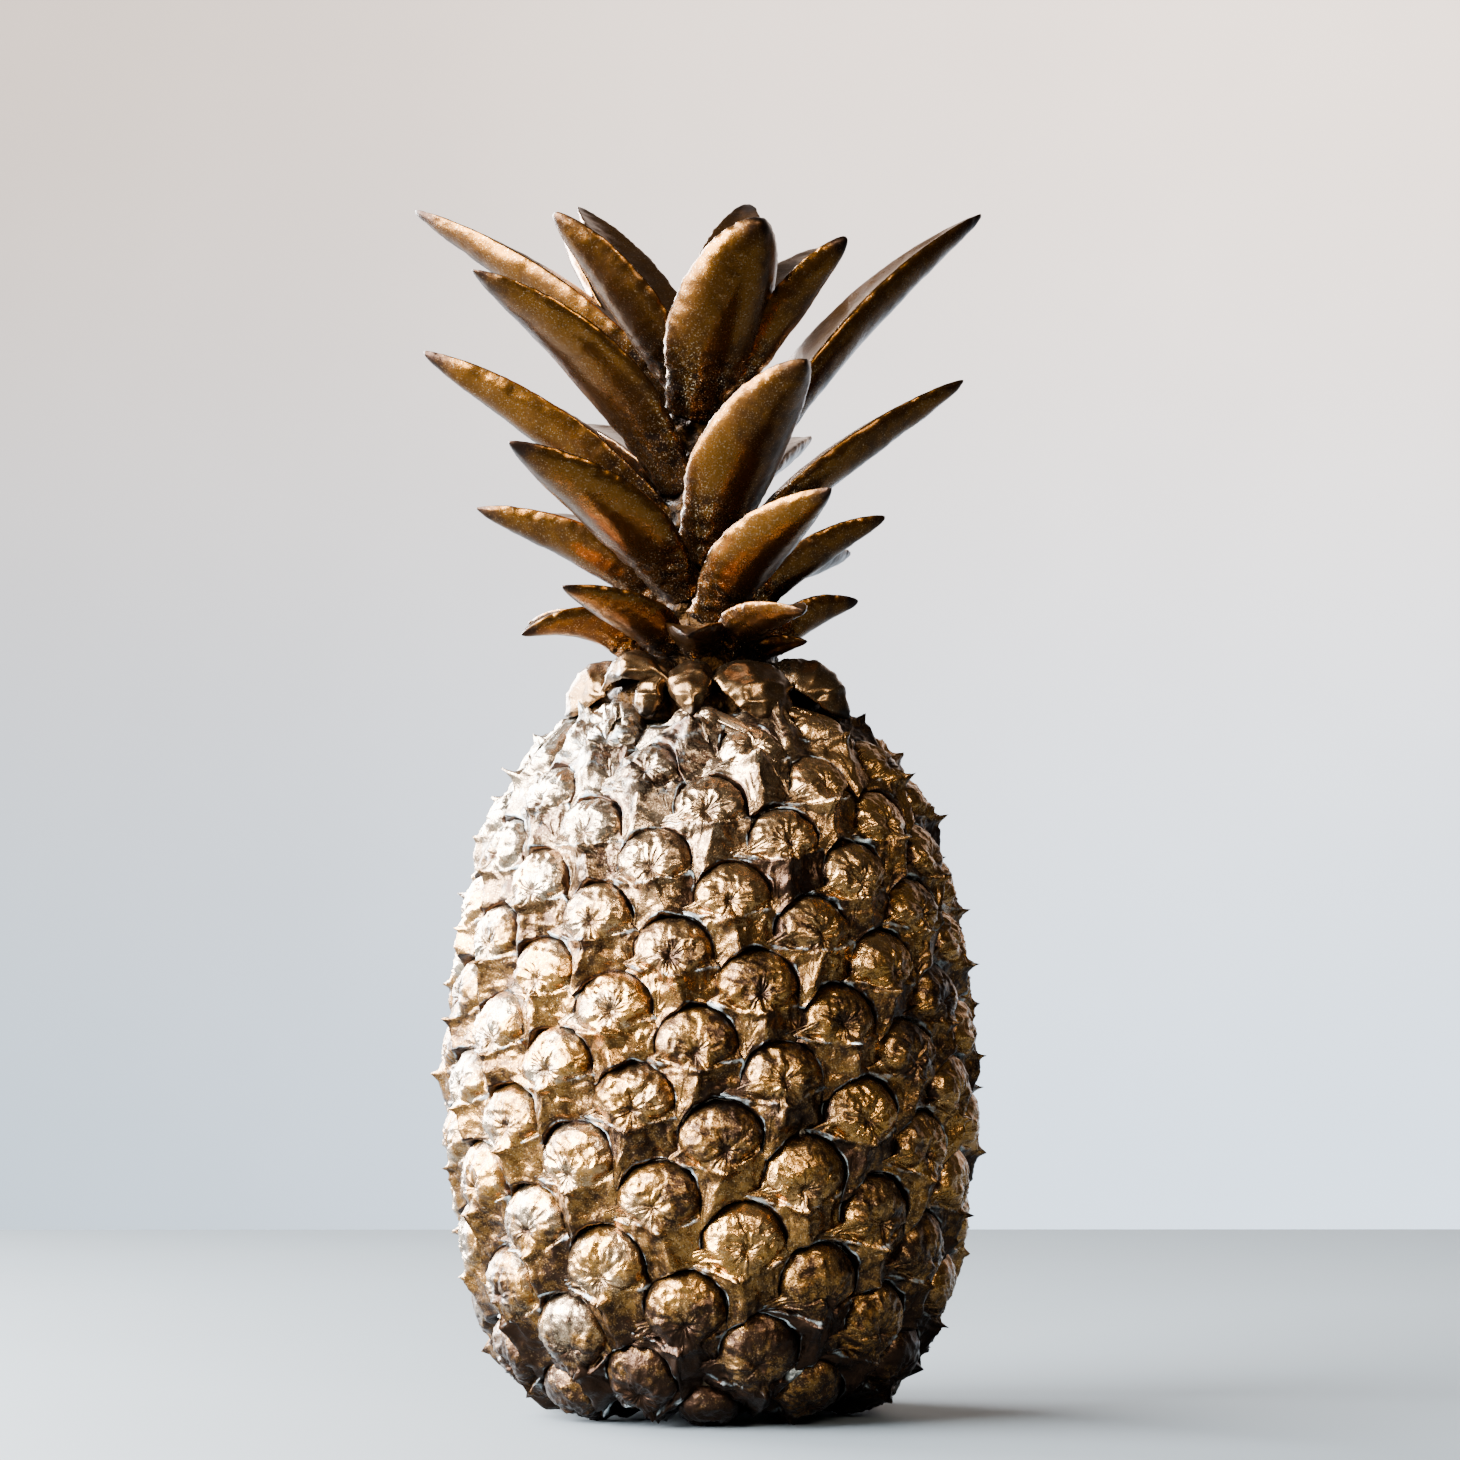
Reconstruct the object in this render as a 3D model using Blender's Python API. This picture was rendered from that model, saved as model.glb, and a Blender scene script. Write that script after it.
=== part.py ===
"""A cast pineapple ornament: one fruit casting, a stem set on it, stiff cast leaves and a ring of hooded bracts.

Lengths are in millimetres up to the point where a mesh is made, and the front of the ornament faces -Y.
Azimuths are in degrees, 0 at the front and growing towards +X.
"""

import math
from collections import namedtuple

import bmesh
import bpy
from mathutils import Vector
from mathutils.geometry import interpolate_bezier

MM = 0.001
GAP = 0.3

# The fruit: a turned outline from the middle of the base to the middle of the top.
BASE_RADIUS = 35.0
FRUIT_TOP = 175.0
TOP_RADIUS = 22.0
FRUIT_OUTLINE = (
    (BASE_RADIUS, 0.0),
    (48.0, 7.0),
    (57.5, 20.0),
    (63.5, 42.0),
    (67.0, 76.0),
    (65.0, 102.0),
    (61.0, 127.0),
    (54.0, 150.0),
    (41.0, 167.0),
    (TOP_RADIUS, FRUIT_TOP),
)
FRUIT_COLUMNS = 4 * 21
FRUIT_ROWS = 38
FLAT_RINGS = 2

# The fruitlets follow the golden angle, numbered downwards from the widest part.
EYE_FIRST, EYE_LAST = -76, 71
EYE_TURN = math.radians(137.4)
EYE_START = math.radians(-1.8)
EYE_MIDDLE_HEIGHT = 91.2
EYE_DROP_PER_50 = 52.0
EYE_HALF_WIDTH = 11.5
EYE_HALF_HEIGHT = 9.5
EYE_DEPTH = 5.0
EYE_EDGE_KEPT = 12.0

# The stem that the leaves are set into, as (radius, height) up its side.
STEM_OUTLINE = (
    (17.0, FRUIT_TOP + GAP),
    (14.5, 186.0),
    (12.0, 200.0),
    (10.5, 215.0),
    (9.0, 230.0),
    (7.5, 245.0),
    (5.5, 258.0),
    (3.0, 265.0),
)
STEM_SIDES = 24

# The leaves. A root is (azimuth, height) on the stem and a tip is a point.
# Arch is how far the middle of a leaf bows up and in, as a share of its rise; lift bows it up by a length.
Leaf = namedtuple("Leaf", "name root tip width thickness arch lift", defaults=(0.0,))
LEAVES = (
    Leaf("leaf_top_left_outer", (-88, 247), (-72.5, 18, 297.5), 16, 7, 0.09),
    Leaf("leaf_top_left_broad", (-60, 227), (-56, -30, 276.5), 24, 6.5, 0.15),
    Leaf("leaf_top_left_upright", (-50, 247), (-36.5, -18, 292), 16, 5, 0.08),
    Leaf("leaf_top_left_rear", (-128, 241), (-36.5, 33, 298.5), 14, 4.5, 0.0),
    Leaf("leaf_top_rear_left", (-175, 250), (-32.5, 56, 304.5), 13, 4.5, 0.05),
    Leaf("leaf_top_front", (-10, 245), (13.5, -30, 289), 20, 6, 0.07),
    Leaf("leaf_top_rear", (165, 253), (11, 45, 303.5), 17, 5, 0.03),
    Leaf("leaf_top_rear_right", (132, 249), (31.5, 52, 293.5), 15, 5, 0.12),
    Leaf("leaf_top_right_upright", (60, 247), (34.5, -16, 286.5), 12, 5, 0.04),
    Leaf("leaf_top_right_outer", (103, 228), (70, 25, 298), 18, 7.5, 0.12),
    Leaf("leaf_mid_front_right", (5, 209), (24, -42, 253.5), 22, 7, 0.14),
    Leaf("leaf_mid_right", (80, 212), (64.5, 8, 254), 15, 7, 0.07),
    Leaf("leaf_mid_rear_right", (145, 222), (27, 54, 244.5), 15, 6, 0.15),
    Leaf("leaf_mid_left", (-80, 216), (-69, -5, 259.5), 17, 7.5, 0.09),
    Leaf("leaf_mid_rear_left", (-148, 224), (-33.5, 50, 247.5), 16, 6, 0.15),
    Leaf("leaf_mid_front_left", (-35, 199), (-46.5, -40, 234), 20, 7, 0.13),
    Leaf("leaf_mid_left_rear", (-115, 212), (-56, 36, 256.5), 17, 6, 0.12),
    Leaf("leaf_mid_rear", (180, 214), (0, 62, 248), 18, 6.5, 0.14),
    Leaf("leaf_low_left", (-85, 197), (-56, -5, 221), 16, 7, 0.2),
    Leaf("leaf_low_front_right", (12, 193), (30, -46, 222), 16, 7, 0.15),
    Leaf("leaf_low_right", (75, 195), (44.5, -5, 219), 14, 6.5, 0.16),
    Leaf("leaf_low_rear_right", (116, 200), (38, 37, 213), 15.5, 6, 0.18),
    Leaf("leaf_low_rear", (160, 198), (20, 60, 222), 17, 6, 0.18),
    Leaf("leaf_low_rear_left", (-135, 199), (-42, 46, 224), 17, 6, 0.18),
    Leaf("collar_leaf_front_left", (-32, 185), (-34, -38, 199.5), 15, 5, 0.2),
    Leaf("collar_leaf_left", (-68, 183), (-44.5, -16, 189), 12, 5.5, 0.1, 12),
    Leaf("collar_leaf_front_right", (28, 185), (24, -40, 193.5), 13, 4.5, 0.2, 5),
    Leaf("collar_leaf_right", (82, 185), (38, -2, 198.5), 12, 5.5, 0.2, 3),
    Leaf("collar_leaf_right_small", (56, 184), (25, -15, 187.5), 7, 3.5, 0.2, 2),
    Leaf("collar_leaf_front", (-4, 185.5), (-4, -37, 188), 12, 4, 0.2, 5),
    Leaf("collar_leaf_rear_right", (125, 185), (34, 28, 198), 14, 5, 0.2, 4),
    Leaf("collar_leaf_rear", (172, 185), (6, 46, 196), 15, 5, 0.2, 6),
    Leaf("collar_leaf_rear_left", (-145, 184), (-27, 38, 200), 14, 5, 0.2, 3),
    Leaf("collar_leaf_left_rear", (-108, 184), (-44, 18, 194), 13, 5, 0.2, 7),
)
LEAF_SIDES = 8
LEAF_RINGS = 11
LEAF_STANDOFF = 2.8
LEAF_ROOT_SHARE = 0.35
LEAF_WIDEST_AT = 0.45
LEAF_TIP_POWER = 2.2

# The hooded bracts between the fruit and the crown.
HOOD_COUNT = 11
HOOD_START = -76.0
HOOD_ROOT_HEIGHT = 179.5
HOOD_TIP_RADIUS = 32.5
HOOD_TIP_HEIGHT = 175.5
HOOD_WIDTH = 14.0
HOOD_THICKNESS = 3.5
HOOD_LIFT = 12.0


def clear_scene():
    for obj in list(bpy.data.objects):
        bpy.data.objects.remove(obj)


def finish(name, colour, roughness, metallic):
    """A plain Principled material."""
    material = bpy.data.materials.new(name)
    material.use_nodes = True
    shader = material.node_tree.nodes["Principled BSDF"]
    shader.inputs["Base Color"].default_value = (*colour, 1.0)
    shader.inputs["Roughness"].default_value = roughness
    shader.inputs["Metallic"].default_value = metallic
    return material


def add_node(name, bm, material, collection):
    """Makes one object from a bmesh in millimetres, and frees the bmesh."""
    bmesh.ops.scale(bm, vec=Vector((MM, MM, MM)), verts=bm.verts)
    bmesh.ops.recalc_face_normals(bm, faces=bm.faces)
    mesh = bpy.data.meshes.new(name)
    bm.to_mesh(mesh)
    bm.free()
    mesh.shade_smooth()
    mesh.materials.append(material)
    obj = bpy.data.objects.new(name, mesh)
    collection.objects.link(obj)
    return obj


def sphere_cage(sides, rings):
    """A unit sphere with its poles on Z, for a shape to be drawn out of."""
    bm = bmesh.new()
    bmesh.ops.create_uvsphere(bm, u_segments=sides, v_segments=rings, radius=1.0)
    return bm


def ring_of(vert, rings):
    """The ring a sphere's vertex is on, from 0 at the lower pole to the number of rings at the upper."""
    return round((1 - math.acos(max(-1.0, min(1.0, vert.co.z))) / math.pi) * rings)


def smooth_outline(points, steps):
    """Evenly spaced points on a smooth curve through the outline's points."""
    knots = [Vector((r, z, 0)) for r, z in points]
    dense = []
    for i in range(len(knots) - 1):
        before, after = knots[max(i - 1, 0)], knots[min(i + 2, len(knots) - 1)]
        a, b = knots[i], knots[i + 1]
        handle_a = a + (b - before) / 6
        handle_b = b - (after - a) / 6
        dense += interpolate_bezier(a, handle_a, handle_b, b, 24)[:-1]
    dense.append(knots[-1])
    lengths = [0.0]
    for a, b in zip(dense, dense[1:]):
        lengths.append(lengths[-1] + (b - a).length)
    even, j = [], 0
    for i in range(steps + 1):
        wanted = lengths[-1] * i / steps
        while j < len(dense) - 2 and lengths[j + 1] < wanted:
            j += 1
        share = (wanted - lengths[j]) / (lengths[j + 1] - lengths[j])
        even.append(dense[j].lerp(dense[j + 1], min(share, 1.0)))
    return [(p.x, p.y) for p in even]


def eye_centres():
    """(azimuth, height) of each fruitlet, which climb in 8, 13 and 21 spirals."""
    centres = []
    for n in range(EYE_FIRST, EYE_LAST + 1):
        t = n / 50
        height = EYE_MIDDLE_HEIGHT - EYE_DROP_PER_50 * t - 3.0 * t**2 - 2.4 * t**3
        centres.append((EYE_START + n * EYE_TURN, height))
    return centres


def spiral_turn(height):
    """How far the steepest spirals, 21 of them, have turned at a height."""
    n = 50 * (EYE_MIDDLE_HEIGHT - height) / EYE_DROP_PER_50
    return EYE_START + n * (EYE_TURN - math.tau * 8 / 21)


def eye_relief(azimuth, height, radius, centres):
    """How far the surface stands out of the grooves here: a dome over each fruitlet."""
    nearest = 1.0
    for eye_azimuth, eye_height in centres:
        up = (height - eye_height) / EYE_HALF_HEIGHT
        if abs(up) >= 1:
            continue
        turn = math.remainder(azimuth - eye_azimuth, math.tau)
        nearest = min(nearest, math.hypot(turn * radius / EYE_HALF_WIDTH, up))
    return EYE_DEPTH * math.sqrt(1 - nearest**2)


def make_fruit(collection, material):
    """The fruit casting: a sphere drawn out to the outline, its columns on the steep spirals, with a dome per fruitlet."""
    rings = FRUIT_ROWS + 2 * FLAT_RINGS
    side = smooth_outline(FRUIT_OUTLINE, FRUIT_ROWS)
    centres = eye_centres()
    bm = sphere_cage(FRUIT_COLUMNS, rings)
    for vert in bm.verts:
        ring = ring_of(vert, rings)
        azimuth = math.atan2(vert.co.x, -vert.co.y)
        if ring < FLAT_RINGS:
            radius, height = BASE_RADIUS * ring / FLAT_RINGS, 0.0
        elif ring > rings - FLAT_RINGS:
            radius, height = TOP_RADIUS * (rings - ring) / FLAT_RINGS, FRUIT_TOP
        else:
            radius, height = side[ring - FLAT_RINGS]
            azimuth += spiral_turn(height)
            inset = EYE_DEPTH - eye_relief(azimuth, height, radius, centres)
            to_end = min(height, FRUIT_TOP - height)
            radius -= inset * min(1.0, to_end / EYE_EDGE_KEPT)
        vert.co = Vector((radius * math.sin(azimuth), -radius * math.cos(azimuth), height))
    for level in (0.0, FRUIT_TOP):
        flat = [f for f in bm.faces if all(abs(v.co.z - level) < 1e-4 for v in f.verts)]
        bmesh.ops.dissolve_faces(bm, faces=flat, use_verts=True)
    return add_node("fruit_body", bm, material, collection)


def stem_radius(height):
    """The stem's radius at a height, between the points of its outline."""
    for (r0, z0), (r1, z1) in zip(STEM_OUTLINE, STEM_OUTLINE[1:]):
        if height <= z1:
            return r0 + (r1 - r0) * (height - z0) / (z1 - z0)
    return STEM_OUTLINE[-1][0]


def make_stem(collection, material):
    """The crown's stem: a cylinder cut into rings that take the outline's sizes."""
    rings = len(STEM_OUTLINE) + 1
    bm = sphere_cage(STEM_SIDES, rings)
    for vert in bm.verts:
        ring = ring_of(vert, rings)
        radius, height = STEM_OUTLINE[max(0, min(ring - 1, len(STEM_OUTLINE) - 1))]
        if ring in (0, rings):
            radius = 0.0
        azimuth = math.atan2(vert.co.x, -vert.co.y)
        vert.co = Vector((radius * math.sin(azimuth), -radius * math.cos(azimuth), height))
    return add_node("crown_stem", bm, material, collection)


def on_stem(azimuth, height):
    """The point a leaf starts from, just off the stem."""
    angle = math.radians(azimuth)
    radius = stem_radius(height) + LEAF_STANDOFF
    return Vector((radius * math.sin(angle), -radius * math.cos(angle), height))


def width_share(along):
    """A leaf's width along its length, as a share of its widest."""
    if along < LEAF_WIDEST_AT:
        share = along / LEAF_WIDEST_AT
        return LEAF_ROOT_SHARE + (1 - LEAF_ROOT_SHARE) * share * share * (3 - 2 * share)
    share = (along - LEAF_WIDEST_AT) / (1 - LEAF_WIDEST_AT)
    return 1 - share**LEAF_TIP_POWER


def make_leaf(leaf, collection, material):
    """A stiff channelled leaf: a sphere drawn out along an arched line from root to tip."""
    root, tip = on_stem(*leaf.root), Vector(leaf.tip)
    run = tip - root
    bow = Vector((run.x * (0.5 - leaf.arch), run.y * (0.5 - leaf.arch), run.z * (0.5 + leaf.arch) + leaf.lift))
    bow += root
    bm = sphere_cage(LEAF_SIDES, LEAF_RINGS)
    for vert in bm.verts:
        ring = ring_of(vert, LEAF_RINGS)
        along = max(0, ring - 1) / (LEAF_RINGS - 1)
        centre = root * (1 - along) ** 2 + bow * 2 * along * (1 - along) + tip * along**2
        if ring in (0, LEAF_RINGS):
            vert.co = centre
            continue
        heading = ((bow - root) * (1 - along) + (tip - bow) * along).normalized()
        across = heading.cross(Vector((0, 0, 1))).normalized()
        outer = heading.cross(across)
        if outer.z > 0:
            outer.negate()
        angle = math.atan2(vert.co.y, vert.co.x)
        share = width_share(along)
        bulge = leaf.thickness * share**0.7 * (0.65 if math.sin(angle) > 0 else 0.35)
        channel = 0.35 * leaf.thickness * share * math.cos(angle) ** 2
        vert.co = centre + across * (leaf.width / 2 * share * math.cos(angle))
        vert.co += outer * (bulge * math.sin(angle) - channel)
    return add_node(leaf.name, bm, material, collection)


def hoods():
    """The ring of hooded bracts, each bowed up and over the fruit's shoulder."""
    for i in range(HOOD_COUNT):
        azimuth = HOOD_START + 360 * i / HOOD_COUNT
        angle = math.radians(azimuth)
        tip = (HOOD_TIP_RADIUS * math.sin(angle), -HOOD_TIP_RADIUS * math.cos(angle), HOOD_TIP_HEIGHT)
        root = (azimuth, HOOD_ROOT_HEIGHT)
        yield Leaf(f"hood_bract_{i + 1:02d}", root, tip, HOOD_WIDTH, HOOD_THICKNESS, 0.0, HOOD_LIFT)


def main():
    clear_scene()
    collection = bpy.data.collections.new("pineapple_ornament")
    bpy.context.scene.collection.children.link(collection)
    gilt = finish("gilt_fruit", (0.42, 0.25, 0.09), 0.42, 0.9)
    umber = finish("umber_stem", (0.10, 0.06, 0.03), 0.6, 0.5)
    bronze = finish("bronze_leaf", (0.36, 0.21, 0.08), 0.38, 0.9)
    dusk = finish("dusky_bract", (0.24, 0.17, 0.11), 0.5, 0.7)
    make_fruit(collection, gilt)
    make_stem(collection, umber)
    for leaf in LEAVES:
        make_leaf(leaf, collection, bronze)
    for leaf in hoods():
        make_leaf(leaf, collection, dusk)


if __name__ == "__main__":
    main()
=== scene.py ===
"""Looks of a cast pineapple ornament in antique gold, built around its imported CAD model.

Every length inside the modelling code is in metres. The front of the ornament faces -Y, and
azimuths are in degrees, 0 at the front and growing towards +X.
"""

import math
from collections import namedtuple

import bmesh
import bpy
import numpy as np
from bpy.props import FloatProperty, FloatVectorProperty, IntProperty, PointerProperty
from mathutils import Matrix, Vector


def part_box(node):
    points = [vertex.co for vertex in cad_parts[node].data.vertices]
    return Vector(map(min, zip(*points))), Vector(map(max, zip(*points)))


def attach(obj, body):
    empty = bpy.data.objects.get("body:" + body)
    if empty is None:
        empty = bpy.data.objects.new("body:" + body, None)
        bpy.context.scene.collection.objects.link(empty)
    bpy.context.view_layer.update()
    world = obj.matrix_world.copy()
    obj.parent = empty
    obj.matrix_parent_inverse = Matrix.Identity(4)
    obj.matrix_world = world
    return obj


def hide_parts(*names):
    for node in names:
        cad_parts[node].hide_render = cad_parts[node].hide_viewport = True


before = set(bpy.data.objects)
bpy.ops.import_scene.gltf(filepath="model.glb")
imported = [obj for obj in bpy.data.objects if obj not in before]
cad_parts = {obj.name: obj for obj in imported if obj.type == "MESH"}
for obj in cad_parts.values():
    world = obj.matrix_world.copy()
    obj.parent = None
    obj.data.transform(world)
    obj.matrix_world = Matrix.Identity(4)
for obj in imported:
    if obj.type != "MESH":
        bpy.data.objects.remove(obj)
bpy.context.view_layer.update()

bl_info = {
    "name": "Cast Pineapple Ornament",
    "version": (1, 0, 0),
    "blender": (4, 5, 0),
    "location": "View3D > Sidebar > Pineapple",
    "description": "Builds the fruitlets, crown and finish of a cast pineapple ornament",
    "category": "Add Mesh",
}

MM = 0.001
_, FRUIT_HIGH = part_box("fruit_body")
FRUIT_RADIUS = FRUIT_HIGH[0] - 1.0 * MM
FRUIT_HEIGHT = FRUIT_HIGH[2]

# The fruit's turned outline over the fruitlets' crowns, as shares of its radius and its height.
OUTLINE = (
    (0.53, 0.0),
    (0.70, 0.030),
    (0.845, 0.110),
    (0.945, 0.240),
    (1.0, 0.435),
    (0.972, 0.58),
    (0.915, 0.720),
    (0.80, 0.855),
    (0.60, 0.950),
    (0.34, 1.0),
)

# The fruitlets follow the golden angle and are numbered downwards from the widest part.
FIRST_FRUITLET, LAST_FRUITLET = -81, 77
SPIRALS = 8
FRUITLET_TURN = math.radians(137.4)
FRUITLET_START = math.radians(-3.3)
# The casting leans a little, so the fruit's middle stands off the crown's axis.
FRUIT_SHIFT = 1.7 * MM
NEIGHBOUR_STEPS = (5, 8, 13, 21, 34)
MASKS = ("groove", "lip", "bract", "pit", "stain")

Leaf = namedtuple(
    "Leaf", "name root tip width thickness arch lift blunt channel", defaults=(0.0, 0.25, 0.42)
)
# Root azimuth and height, tip point, width and thickness in millimetres; arch as a share of the
# rise; lift in millimetres.
LEAVES = (
    Leaf("leaf_top_left_outer", (-88, 247), (-72.2, 18, 297.3), 16, 8.5, 0.09),
    Leaf("leaf_top_left_broad", (-60, 225), (-55.8, -30, 276), 29, 7, 0.15),
    Leaf("leaf_top_left_upright", (-50, 247), (-36.5, -18, 291.5), 20, 7, 0.08, 0, 0.5),
    Leaf("leaf_top_left_rear", (-128, 241), (-36.5, 33, 298), 18, 6, 0.0, 0, 0.4),
    Leaf("leaf_top_rear_left", (-175, 250), (-32.5, 56, 304), 16, 6, 0.05),
    Leaf("leaf_top_front", (-12, 243), (13.5, -30, 288.5), 27, 9, 0.07, 0, 0.55),
    Leaf("leaf_top_rear", (165, 253), (11, 45, 303), 19, 6.5, 0.03, 0, 0.45),
    Leaf("leaf_top_rear_right", (132, 249), (31.5, 52, 293), 18, 6, 0.12, 0, 0.45),
    Leaf("leaf_top_right_upright", (60, 247), (34.5, -16, 286), 16, 6.5, 0.04, 0, 0.6),
    Leaf("leaf_top_right_outer", (103, 226), (69.7, 25, 297.5), 21, 8.5, 0.12),
    Leaf("leaf_mid_front_right", (5, 207), (24, -42, 253), 25, 9, 0.14, 0, 0.4),
    Leaf("leaf_mid_right", (80, 212), (64.3, 8, 253.7), 18, 7.5, 0.07),
    Leaf("leaf_mid_rear_right", (145, 222), (27, 54, 244), 18, 6.5, 0.15),
    Leaf("leaf_mid_left", (-80, 216), (-68.7, -5, 259.2), 18, 9, 0.09),
    Leaf("leaf_mid_rear_left", (-148, 224), (-33.5, 50, 247), 18, 6.5, 0.15),
    Leaf("leaf_mid_front_left", (-35, 199), (-46.5, -40, 233.6), 26, 8.5, 0.13),
    Leaf("leaf_mid_left_rear", (-115, 212), (-56, 36, 256.5), 18, 7, 0.12),
    Leaf("leaf_mid_rear", (180, 214), (0, 61.6, 247.6), 21, 7, 0.14),
    Leaf("leaf_low_left", (-85, 197), (-55.8, -5, 220.8), 19, 8.5, 0.2),
    Leaf("leaf_low_front_right", (12, 193), (30, -46, 221.8), 20, 8.5, 0.15),
    Leaf("leaf_low_right", (75, 195), (44.3, -5, 218.7), 15, 7, 0.16),
    Leaf("leaf_low_rear_right", (118, 200), (37, 38, 213), 18, 7, 0.18),
    Leaf("leaf_low_rear", (160, 198), (20, 59.7, 221.6), 19, 7, 0.18),
    Leaf("leaf_low_rear_left", (-135, 199), (-41.8, 45.7, 223.6), 19, 7, 0.18),
    Leaf("collar_leaf_front_left", (-32, 185), (-33.8, -38, 199.2), 19, 6.5, 0.2),
    Leaf("collar_leaf_left", (-68, 183), (-44.3, -16, 189), 14, 7, 0.1, 12),
    Leaf("collar_leaf_front_right", (28, 185), (24, -40, 193.3), 16, 6, 0.2, 5),
    Leaf("collar_leaf_right", (82, 185), (37.8, -2, 198.2), 14, 7, 0.2, 3),
    Leaf("collar_leaf_right_small", (56, 184), (25, -15, 187.3), 9, 4, 0.2, 2),
    Leaf("collar_leaf_front", (-4, 183), (-4, -37, 187.5), 14, 5, 0.2, 6),
    Leaf("collar_leaf_rear_right", (125, 185), (33.8, 28, 197.7), 16, 6, 0.2, 4),
    Leaf("collar_leaf_rear", (172, 185), (6, 45.7, 195.7), 17, 6, 0.2, 6),
    Leaf("collar_leaf_rear_left", (-145, 184), (-27, 37.7, 199.7), 16, 6, 0.2, 3),
    Leaf("collar_leaf_left_rear", (-108, 184), (-43.7, 18, 193.7), 15, 6, 0.2, 7),
)
# Stem radius and height in millimetres, up its side.
STEM_OUTLINE = (
    (27, 168),
    (26, 175),
    (19, 183),
    (14, 193),
    (12, 205),
    (11, 220),
    (9.5, 235),
    (8, 248),
    (6, 258),
    (3.5, 264),
)
# The hooded bracts on the neck: which CAD bract each one stands for, its azimuth, then its tip's
# azimuth, its reach and its height, then its width, thickness, lift and channel.
HOODS = (
    (1, -78, -84, 33.5, 169.5, 15, 3.0, 6.0, 2.2),
    (2, -40, -36, 33.5, 178.0, 20, 3.0, 6.0, 2.6),
    (3, -26, -27, 31.0, 168.5, 8, 4.5, 3.0, 0.2),
    (3, -8, -6, 32.5, 168.5, 10, 4.0, 3.0, 0.2),
    (4, 24, 27, 34.5, 167.5, 20, 3.5, 4.0, 0.6),
    (5, 56, 66, 38.0, 168.5, 16, 3.5, 7.0, 1.6),
    (6, 88, 92, 33.5, 170.5, 14, 3.0, 5.0, 2.0),
    (7, 120, 124, 34.0, 173.0, 17, 3.0, 5.0, 1.8),
    (8, 153, 150, 33.0, 168.5, 13, 4.0, 3.0, 0.5),
    (9, -174, -170, 34.5, 175.0, 18, 3.0, 5.0, 2.0),
    (10, -142, -146, 33.0, 169.0, 14, 4.0, 4.0, 0.6),
    (11, -109, -112, 34.5, 173.0, 16, 3.0, 5.0, 1.6),
)


# Colours and sizes that no setting changes.
METAL = 0.99
COAT_WEIGHT, COAT_ROUGHNESS = 0.02, 0.22
GLINT = (0.95, 0.80, 0.55)
CASTING, CASTING_WASH = (0.06, 0.04, 0.02), (0.008, 0.006, 0.005)
# The stem's near-black is partly its dark grit and partly painted shade among the leaves.
STEM, STEM_WASH_AND_SHADE = (0.018, 0.008, 0.002), (0.0006, 0.0004, 0.0003)
HOOD, HOOD_WASH = (0.08, 0.042, 0.016), (0.010, 0.007, 0.005)
# Each finish's patch scale, crinkle scale and bump depth.
FRUIT_FINISH = (55.0, 480.0, 0.34 * MM)
CASTING_FINISH = (90.0, 700.0, 0.4 * MM)
STEM_FINISH = (160.0, 800.0, 0.5 * MM)
LEAF_FINISH = (45.0, 420.0, 0.12 * MM)
# How far a tip may stand outside its CAD leaf's or bract's box.
LEAF_SLACK, HOOD_SLACK = 8 * MM, 14 * MM
WALL_LOW, WALL_HIGH = (0.48, 0.575, 0.68), (0.64, 0.53, 0.46)
DAYLIGHT, WARM_BOUNCE, SOFT_WHITE = (0.95, 0.97, 1.0), (1.0, 0.88, 0.72), (1.0, 0.985, 0.97)
ROOM_COLOUR, ROOM_STRENGTH = (0.86, 0.84, 0.80, 1), 0.14
BACKDROP_Y = 2.6
MIDDLE = (0, 0, 0.15)
# Name, place, aim, sides in metres, power in watts and colour; the window's power is a setting.
LIGHTS = (
    ("window", (-0.95, -0.42, 0.62), MIDDLE, (1.2, 1.0), None, DAYLIGHT),
    ("window_rear", (-0.75, 0.55, 0.50), MIDDLE, (0.6, 0.8), 240.0, DAYLIGHT),
    ("fill", (0.55, -1.35, 0.85), MIDDLE, (0.36, 0.36), 34.0, WARM_BOUNCE),
    ("wall_wash", (0.0, 1.3, 1.3), (0, BACKDROP_Y, 0.8), (3.0, 0.6), 46.0, SOFT_WHITE),
)
# The camera stands in front at eye height, and its view is this wide at the ornament's axis.
CAMERA_DISTANCE, EYE_HEIGHT, VIEW_WIDTH, SENSOR_WIDTH = 1.225, 0.1127, 0.3577, 36.0
AIM_SIDE, AIM_HEIGHT = 0.00637, 0.1666


# ---------------------------------------------------------------- settings


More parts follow.
